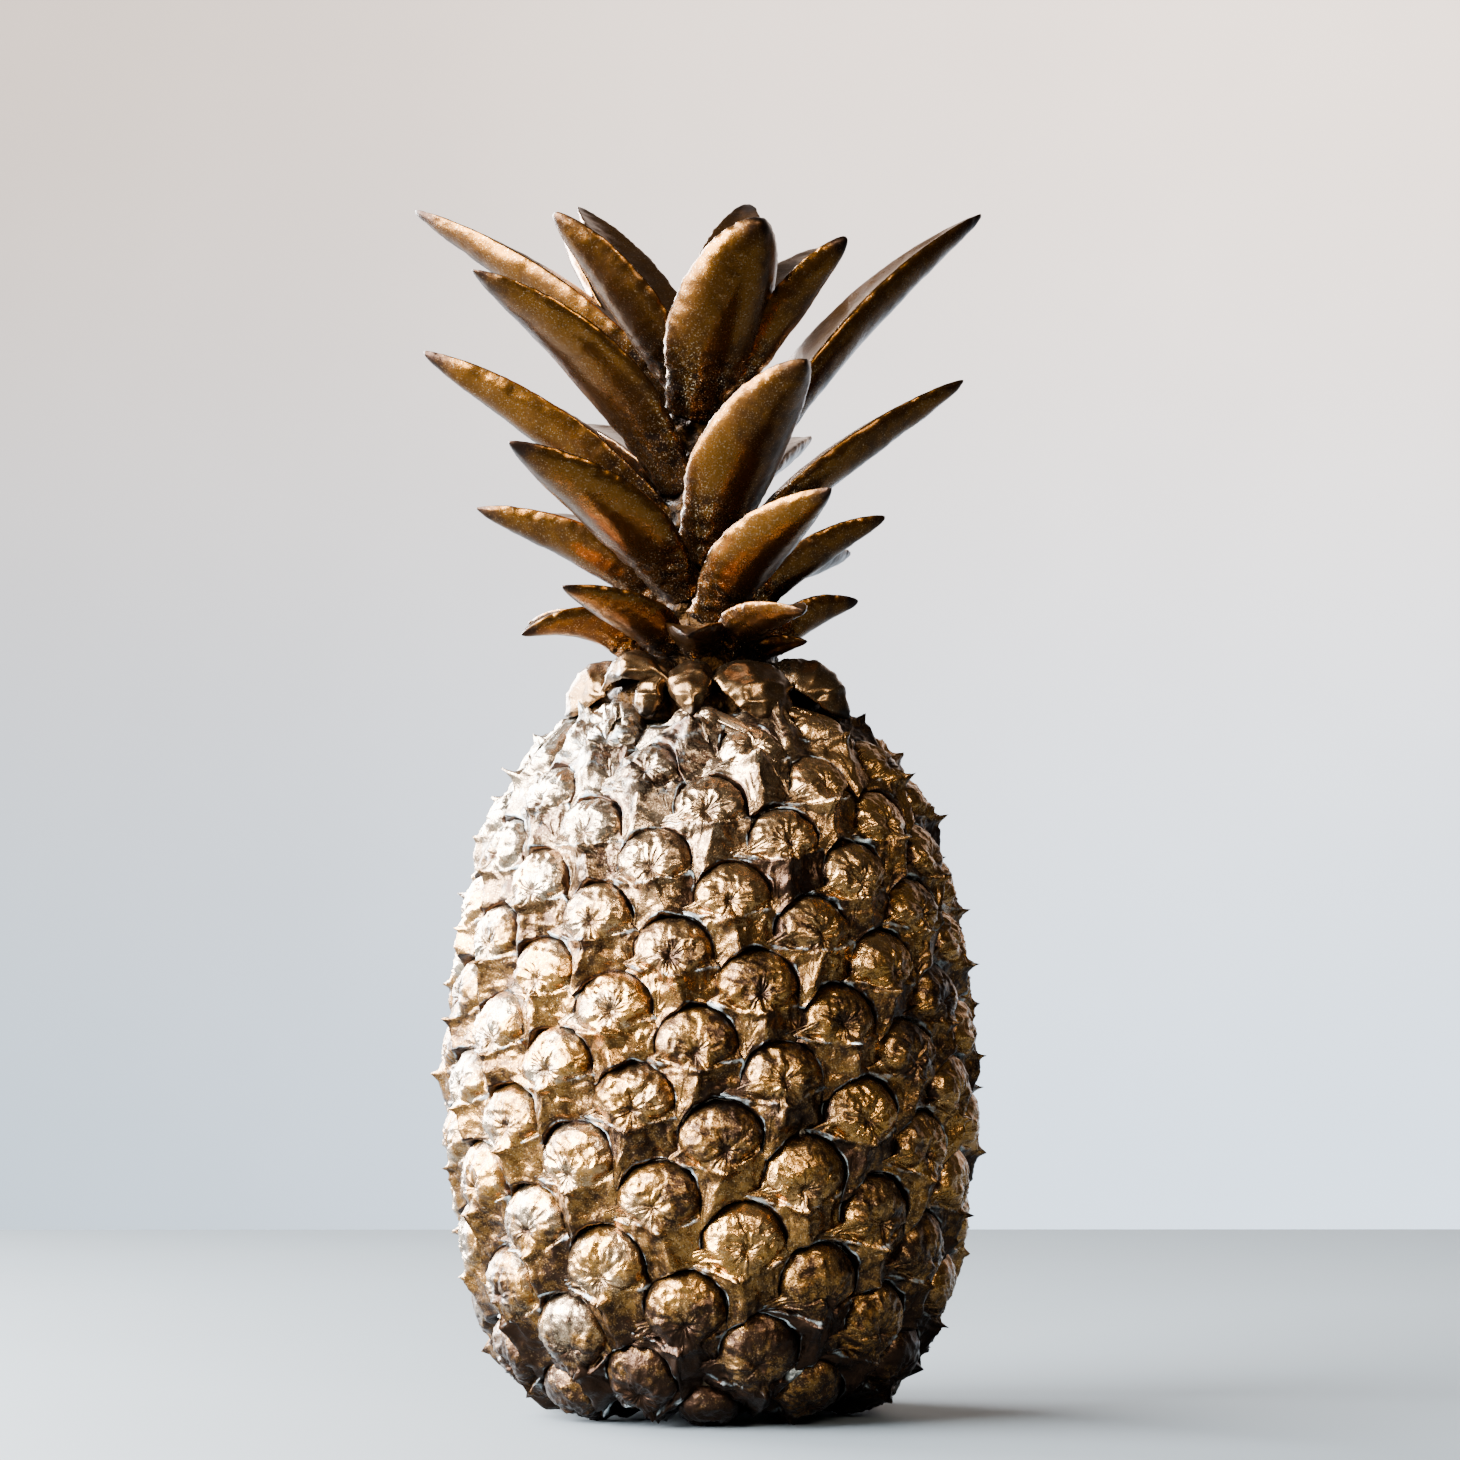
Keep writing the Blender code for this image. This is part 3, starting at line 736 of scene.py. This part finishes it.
def fruit_material(settings):
    material, tree, shader, gilt = gilded_material(
        "antique_gold_fruit", settings.gold, settings.umber, *FRUIT_FINISH
    )
    gilt.inputs["Speckle"].default_value = 0.5
    groove, lip, bract, pit, stain = (mask_node(tree, name) for name in MASKS)
    settled = math_node(tree, "MULTIPLY", groove, 0.9)
    settled = math_node(tree, "ADD", settled, math_node(tree, "MULTIPLY", pit, 0.3))
    settled = math_node(tree, "ADD", settled, math_node(tree, "MULTIPLY", bract, 0.14))
    # Painted shade: the wash is laid on thicker near the base, so the fruit darkens towards the
    # bottom.
    painted_base_shade = math_node(tree, "SUBTRACT", 0.48, place_mask(tree, gilt, 0.0, 0.075))
    settled = math_node(tree, "ADD", settled, math_node(tree, "MAXIMUM", painted_base_shade, 0.0))
    # The random stains are the finish's own; they are laid on more heavily towards +X, the right side,
    # as painted shade.
    stain_and_right_shade = spread_node(tree, place_mask(tree, gilt, -0.05, 0.01, "X"), 0, 1, 0.18, 0.50)
    stain_and_right_shade = math_node(tree, "MULTIPLY", stain, stain_and_right_shade)
    settled = math_node(tree, "ADD", settled, stain_and_right_shade)
    # This settled wash also carries the painted shade at the base and on the right.
    link(tree, settled, gilt.inputs["Settled"])
    # Painted light: the pale gold lies in random patches that grow stronger towards -X, the lit left
    # side, and weaker on the bracts.
    lit_left_side = place_mask(tree, gilt, 0.010, -0.055, "X")
    coords = gilt.inputs["Coords"].links[0].from_socket
    pale_patches_and_light = spread_node(tree, noise_node(tree, coords, 75.0, 5.0, 0.65), 0.44, 0.60)
    pale_patches_and_light = math_node(tree, "MULTIPLY", pale_patches_and_light, spread_node(tree, lit_left_side, 0, 1, 0.15, 0.95))
    pale_patches_and_light = math_node(tree, "MULTIPLY", pale_patches_and_light, spread_node(tree, bract, 0, 1, 1.0, 0.35))
    dome_gold = mix_node(tree, pale_patches_and_light, tuple(settings.gold), tuple(settings.pale))
    bract_gold = mix_node(tree, bract, dome_gold, tuple(settings.bract))
    # Painted light and dust: the upper shoulder on the lit left side turns silvery and carries the
    # pale bloom.
    shoulder = place_mask(tree, gilt, 0.105, 0.165)
    shoulder = math_node(tree, "MULTIPLY", shoulder, place_mask(tree, gilt, 0.045, -0.02, "X"))
    silver = math_node(tree, "MULTIPLY", shoulder, 0.8)
    silvered = mix_node(tree, silver, bract_gold, tuple(settings.silver))
    link(tree, silvered, gilt.inputs["Gold"])
    where = math_node(tree, "MAXIMUM", lip, math_node(tree, "MULTIPLY", shoulder, 0.60))
    add_bloom(tree, shader, gilt, where, 260.0, tuple(settings.verdigris), METAL)
    return material


# ---------------------------------------------------------------- pieces


def build_fruitlets(context):
    settings = context.scene.pineapple_fruit
    material = fruit_material(settings)
    centres = fruitlet_centres()
    numbers = range(FIRST_FRUITLET, LAST_FRUITLET + 1)
    for spiral in range(SPIRALS):
        members = [n for n in numbers if n % SPIRALS == spiral]
        mesh, turns, rings = sphere_mesh(
            f"fruitlets_spiral_{spiral + 1}", settings.spokes, settings.rings + 4, len(members)
        )
        shapes = [
            fruitlet_shape(centres, n, turns[i], rings[i], settings) for i, n in enumerate(members)
        ]
        write_points(mesh, np.concatenate([points for points, _ in shapes]))
        for name in MASKS:
            write_mask(mesh, name, np.concatenate([masks[name] for _, masks in shapes]))
        add_piece(mesh, material, "antique_gold", "fruit_body")


def build_fruit_core(context):
    """The dark casting under the fruitlets, closed by the flat base and the top."""
    rings = 120
    mesh, turns, ring = sphere_mesh("fruit_core", 96, rings)
    along = (1 - ring[0] / rings) * ALONG[-1]
    inset = np.minimum(5.6 * MM, np.minimum(along, ALONG[-1] - along) * 0.5)
    points = on_fruit(turns[0], along, -inset)
    points[..., 2] = np.clip(points[..., 2], 0, FRUIT_HEIGHT)
    write_points(mesh, points)
    material = gilded_material("dark_casting", CASTING, CASTING_WASH, *CASTING_FINISH, 0.4)[0]
    add_piece(mesh, material, "antique_gold", "fruit_body")


def stem_radius(height):
    return float(np.interp(height, [z for _, z in STEM_OUTLINE], [r for r, _ in STEM_OUTLINE]))


def build_stem(context):
    rings = 90
    mesh, turns, ring = sphere_mesh("crown_stem_cast", 64, rings)
    share = np.clip((ring[0] - 1) / (rings - 2), 0, 1)
    height = STEM_OUTLINE[-1][1] + (STEM_OUTLINE[0][1] - STEM_OUTLINE[-1][1]) * share
    radius = np.interp(height, [z for _, z in STEM_OUTLINE], [r for r, _ in STEM_OUTLINE])
    radius = np.where((ring[0] == 0) | (ring[0] == rings), 0, radius)
    points = np.stack([radius * np.sin(turns[0]), -radius * np.cos(turns[0]), height], -1) * MM
    lumps = 1.6 * MM * value_noise(points, 3.5 * MM, 71) + 0.8 * MM * value_noise(points, 1.6 * MM, 72)
    lumps += 3.2 * MM * value_noise(points, 7 * MM, 73) * smooth_step(190 * MM, 180 * MM, points[:, 2])
    outward = points * (1, 1, 0)
    outward /= np.maximum(np.linalg.norm(outward, axis=1), 1e-6)[:, None]
    write_points(mesh, points + outward * (lumps * (radius > 0))[:, None])
    material, tree, shader, gilt = gilded_material(
        "dark_stem", STEM, STEM_WASH_AND_SHADE, *STEM_FINISH, metallic=1.0
    )
    gilt.inputs["Speckle"].default_value = 0.0
    gilt.inputs["Settled"].default_value = 0.25
    shader.inputs["Coat Weight"].default_value = 0.0
    shader.inputs["Roughness"].default_value = 0.4
    for socket in shader.inputs["Roughness"].links:
        tree.links.remove(socket)
    add_piece(mesh, material, "dark_bronze", "crown_stem")


def leaf_share(along, blunt):
    """A leaf's width along its length, as a share of its widest."""
    grow = 0.62 + 0.38 * smooth_step(0.0, 0.42, along)
    fall = np.clip((along - 0.42) / 0.58, 0, 1)
    taper = (1 - fall**2.1) * (1 - blunt * 0.6) + blunt * 0.6 * np.sqrt(np.clip(1 - fall**7, 0, 1))
    return grow * taper


def leaf_points(leaf, turn, ring, rings, seed, hooded=False):
    """A stiff channelled leaf drawn out along an arched line, with its root sunk into the stem."""
    angle = math.radians(leaf.root[0])
    root_radius = stem_radius(leaf.root[1]) - 3.0
    root = np.array([root_radius * math.sin(angle), -root_radius * math.cos(angle), leaf.root[1]]) * MM
    tip = np.array(leaf.tip) * MM
    run = tip - root
    bow = root + run * (0.5 - leaf.arch, 0.5 - leaf.arch, 0.5 + leaf.arch) + (0, 0, leaf.lift * MM)
    along = np.clip((ring - 1) / (rings - 1), 0, 1)[:, None]
    along = 1 - (1 - along) ** 1.25
    centre = root * (1 - along) ** 2 + bow * 2 * along * (1 - along) + tip * along**2
    heading = (bow - root) * (1 - along) + (tip - bow) * along
    heading /= np.linalg.norm(heading, axis=1)[:, None]
    across = np.cross(heading, (0, 0, 1))
    across /= np.linalg.norm(across, axis=1)[:, None]
    outer = np.cross(heading, across)
    outer *= np.where((outer[:, 2:] > 0) == hooded, 1, -1)
    share = leaf_share(along[:, 0], leaf.blunt)
    share = np.where((ring == 0) | (ring == rings), 0, share)
    thick = leaf.thickness * MM * share**0.75
    side, face = np.cos(turn), np.sin(turn)
    bulge = np.where(face > 0, 0.62, 0.30) * thick * np.sign(face) * np.abs(face) ** 0.9
    channel = leaf.channel * leaf.thickness * MM * share * side**2
    points = centre + across * (leaf.width / 2 * MM * share * side)[:, None]
    points += outer * (bulge - channel)[:, None]
    rough = 0.22 * value_noise(points, 6 * MM, seed) + 0.10 * value_noise(points, 1.6 * MM, seed + 1)
    grit = smooth_step(0.42, 0.10, along[:, 0]) * 0.8 * MM * folds(points, 2.4 * MM, seed + 2)
    if hooded:
        grit = 0.8 * MM * folds(points, 4.5 * MM, seed + 2)
    edge = np.abs(side) ** 12 * 0.35 * MM * value_noise(points, 1.3 * MM, seed + 3)
    normal = across * side[:, None] + outer * face[:, None]
    return points + normal * ((rough * MM + grit + edge) * (share > 0))[:, None], along[:, 0]


def leaf_material(name, gold, wash):
    material, tree, shader, gilt = gilded_material(name, gold, wash, *LEAF_FINISH)
    root, tip = mask_node(tree, "root"), mask_node(tree, "tip")
    link(tree, spread_node(tree, root, 0.0, 1.0, 0.25, 1.3), gilt.inputs["Speckle"])
    link(tree, math_node(tree, "ADD", gilt.outputs["Roughness"], 0.04), shader.inputs["Roughness"])
    settled = math_node(tree, "MULTIPLY", tip, 0.5)
    settled = math_node(tree, "ADD", settled, math_node(tree, "MULTIPLY", root, 0.06))
    link(tree, settled, gilt.inputs["Settled"])
    return material


def build_leaf(leaf, settings, material, slot, seed, node=None):
    mesh, turns, ring = sphere_mesh(leaf.name + "_cast", settings.sides, settings.rings)
    ring = settings.rings - ring[0]
    points, along = leaf_points(leaf, turns[0], ring, settings.rings, seed, node is not None)
    low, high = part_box(node or leaf.name)
    slack = HOOD_SLACK if node else LEAF_SLACK
    tip = Vector(leaf.tip) * MM
    if any(tip[i] < low[i] - slack or tip[i] > high[i] + slack for i in range(3)):
        raise RuntimeError(f"{leaf.name} has left the CAD leaf's place")
    write_points(mesh, points)
    bm = bmesh.new()
    bm.from_mesh(mesh)
    bmesh.ops.recalc_face_normals(bm, faces=bm.faces)
    bm.to_mesh(mesh)
    bm.free()
    write_mask(mesh, "root", smooth_step(0.48, 0.08, along))
    write_mask(mesh, "tip", smooth_step(0.86, 1.0, along))
    add_piece(mesh, material, slot, node or leaf.name)


def build_leaves(context):
    crown = context.scene.pineapple_crown
    material = leaf_material("bronze_leaf", crown.bronze, crown.shadow)
    for i, leaf in enumerate(LEAVES):
        build_leaf(leaf, crown, material, "leaf_bronze", 100 + 7 * i)


def build_hoods(context):
    crown = context.scene.pineapple_crown
    material = leaf_material("dusty_bract", HOOD, HOOD_WASH)
    for i, (number, azimuth, tip_azimuth, reach, height, *shape) in enumerate(HOODS):
        width, thickness, lift, channel = shape
        angle = math.radians(tip_azimuth)
        tip = (reach * math.sin(angle), -reach * math.cos(angle), height)
        name = f"hood_{i + 1:02d}"
        hood = Leaf(name, (azimuth, 180.5), tip, width, thickness, -0.3, lift, 0.8, channel)
        build_leaf(hood, crown, material, "dusty_bronze", 500 + 7 * i, f"hood_bract_{number:02d}")


# ---------------------------------------------------------------- stage


def add_area_light(name, place, target, size, power, colour):
    light = bpy.data.lights.new(name, "AREA")
    light.shape = "RECTANGLE"
    light.size, light.size_y = size
    light.energy = power
    light.color = colour
    holder = bpy.data.objects.new(name, light)
    holder.location = place
    holder.rotation_euler = (Vector(target) - Vector(place)).to_track_quat("-Z", "Y").to_euler()
    bpy.context.scene.collection.objects.link(holder)
    return holder


def stage_plane(name, width, depth, material, place=(0, 0, 0), upright=False):
    bm = bmesh.new()
    bmesh.ops.create_grid(bm, x_segments=1, y_segments=1, size=0.5)
    bmesh.ops.scale(bm, vec=(width, depth, 1), verts=bm.verts)
    if upright:
        for vert in bm.verts:
            vert.co = Vector((vert.co.x, 0, vert.co.y))
    bmesh.ops.translate(bm, vec=place, verts=bm.verts)
    mesh = bpy.data.meshes.new(name)
    bm.to_mesh(mesh)
    bm.free()
    mesh.materials.append(material)
    plane = bpy.data.objects.new(name, mesh)
    bpy.context.scene.collection.objects.link(plane)
    return plane


def stage_material(name, low, high, low_height, high_height, rough):
    material = bpy.data.materials.new(name)
    material.use_nodes = True
    tree = material.node_tree
    shader = tree.nodes["Principled BSDF"]
    coords = tree.nodes.new("ShaderNodeTexCoord").outputs["Object"]
    split = tree.nodes.new("ShaderNodeSeparateXYZ")
    link(tree, coords, split.inputs[0])
    rise = spread_node(tree, split.outputs["Z"], low_height, high_height)
    colour = mix_node(tree, rise, low, high)
    # Painted shade: the floor and the backdrop darken towards -X, the left side.
    side = spread_node(tree, split.outputs["X"], -0.6, 0.6, 0.56, 1.0)
    colour = mix_node(tree, 1.0, colour, side, "MULTIPLY")
    soft = spread_node(tree, noise_node(tree, coords, 3.0, 5.0), 0.3, 0.7, 0.94, 1.0)
    link(tree, mix_node(tree, 1.0, colour, soft, "MULTIPLY"), shader.inputs["Base Color"])
    shader.inputs["Roughness"].default_value = rough
    shader.inputs["Specular IOR Level"].default_value = 0.2
    return material


def build_stage(context):
    settings = context.scene.pineapple_stage
    floor = tuple(settings.floor)
    table = stage_material("pale_floor", floor, floor, 0.0, 1.0, 0.7)
    wall = stage_material("pale_wall", WALL_LOW, WALL_HIGH, -0.1, 0.85, 0.9)
    stage_plane("floor", 1.5, 1.1, table, (0, 0.25, 0))
    stage_plane("backdrop", 12.0, 6.0, wall, (0, BACKDROP_Y, 1.0), upright=True)
    for name, place, target, size, power, colour in LIGHTS:
        add_area_light(name, place, target, size, power or settings.key_power, colour)
    world = context.scene.world or bpy.data.worlds.new("studio")
    context.scene.world = world
    world.use_nodes = True
    background = world.node_tree.nodes["Background"]
    background.inputs["Color"].default_value = ROOM_COLOUR
    background.inputs["Strength"].default_value = ROOM_STRENGTH
    camera = bpy.data.cameras.new("camera")
    camera.sensor_width = SENSOR_WIDTH
    camera.lens = SENSOR_WIDTH * CAMERA_DISTANCE / VIEW_WIDTH
    holder = bpy.data.objects.new("camera", camera)
    holder.location = (0, -CAMERA_DISTANCE, EYE_HEIGHT)
    look = Vector((AIM_SIDE, 0, AIM_HEIGHT)) - holder.location
    holder.rotation_euler = look.to_track_quat("-Z", "Y").to_euler()
    context.scene.collection.objects.link(holder)
    context.scene.camera = holder


# ---------------------------------------------------------------- add-on


class PINEAPPLE_OT_fruitlets(bpy.types.Operator):
    """Build the domed fruitlets in their spirals"""

    bl_idname = "pineapple.fruitlets"
    bl_label = "Fruitlets"

    def execute(self, context):
        build_fruitlets(context)
        return {"FINISHED"}


class PINEAPPLE_OT_fruit_core(bpy.types.Operator):
    """Build the dark casting that shows in the grooves and at the base"""

    bl_idname = "pineapple.fruit_core"
    bl_label = "Fruit Core"

    def execute(self, context):
        build_fruit_core(context)
        return {"FINISHED"}


class PINEAPPLE_OT_stem(bpy.types.Operator):
    """Build the gritty stem that the leaves are set into"""

    bl_idname = "pineapple.stem"
    bl_label = "Stem"

    def execute(self, context):
        build_stem(context)
        return {"FINISHED"}


class PINEAPPLE_OT_leaves(bpy.types.Operator):
    """Build the crown's stiff cast leaves"""

    bl_idname = "pineapple.leaves"
    bl_label = "Leaves"

    def execute(self, context):
        build_leaves(context)
        return {"FINISHED"}


class PINEAPPLE_OT_hoods(bpy.types.Operator):
    """Build the ring of hooded bracts on the fruit's neck"""

    bl_idname = "pineapple.hoods"
    bl_label = "Hooded Bracts"

    def execute(self, context):
        build_hoods(context)
        return {"FINISHED"}


class PINEAPPLE_OT_stage(bpy.types.Operator):
    """Build the floor, the backdrop, the lights and the camera"""

    bl_idname = "pineapple.stage"
    bl_label = "Stage"

    def execute(self, context):
        build_stage(context)
        return {"FINISHED"}


class PINEAPPLE_PT_panel(bpy.types.Panel):
    """Sidebar panel with the ornament's steps and settings"""

    bl_label = "Cast Pineapple"
    bl_idname = "PINEAPPLE_PT_panel"
    bl_space_type = "VIEW_3D"
    bl_region_type = "UI"
    bl_category = "Pineapple"

    def draw(self, context):
        for step in STEPS:
            self.layout.operator(step.bl_idname)
        scene = context.scene
        for settings in (scene.pineapple_fruit, scene.pineapple_crown, scene.pineapple_stage):
            box = self.layout.box()
            for name in settings.__annotations__:
                box.prop(settings, name)


STEPS = (
    PINEAPPLE_OT_stage,
    PINEAPPLE_OT_fruitlets,
    PINEAPPLE_OT_fruit_core,
    PINEAPPLE_OT_stem,
    PINEAPPLE_OT_leaves,
    PINEAPPLE_OT_hoods,
)
GROUPS = (FruitSettings, CrownSettings, StageSettings)


def register():
    for cls in (*GROUPS, *STEPS, PINEAPPLE_PT_panel):
        bpy.utils.register_class(cls)
    bpy.types.Scene.pineapple_fruit = PointerProperty(type=FruitSettings)
    bpy.types.Scene.pineapple_crown = PointerProperty(type=CrownSettings)
    bpy.types.Scene.pineapple_stage = PointerProperty(type=StageSettings)


def unregister():
    del bpy.types.Scene.pineapple_fruit
    del bpy.types.Scene.pineapple_crown
    del bpy.types.Scene.pineapple_stage
    for cls in reversed((*GROUPS, *STEPS, PINEAPPLE_PT_panel)):
        bpy.utils.unregister_class(cls)


def main():
    register()
    bpy.ops.pineapple.stage()
    bpy.ops.pineapple.fruitlets()
    bpy.ops.pineapple.fruit_core()
    bpy.ops.pineapple.stem()
    bpy.ops.pineapple.leaves()
    bpy.ops.pineapple.hoods()


if __name__ == "__main__":
    main()
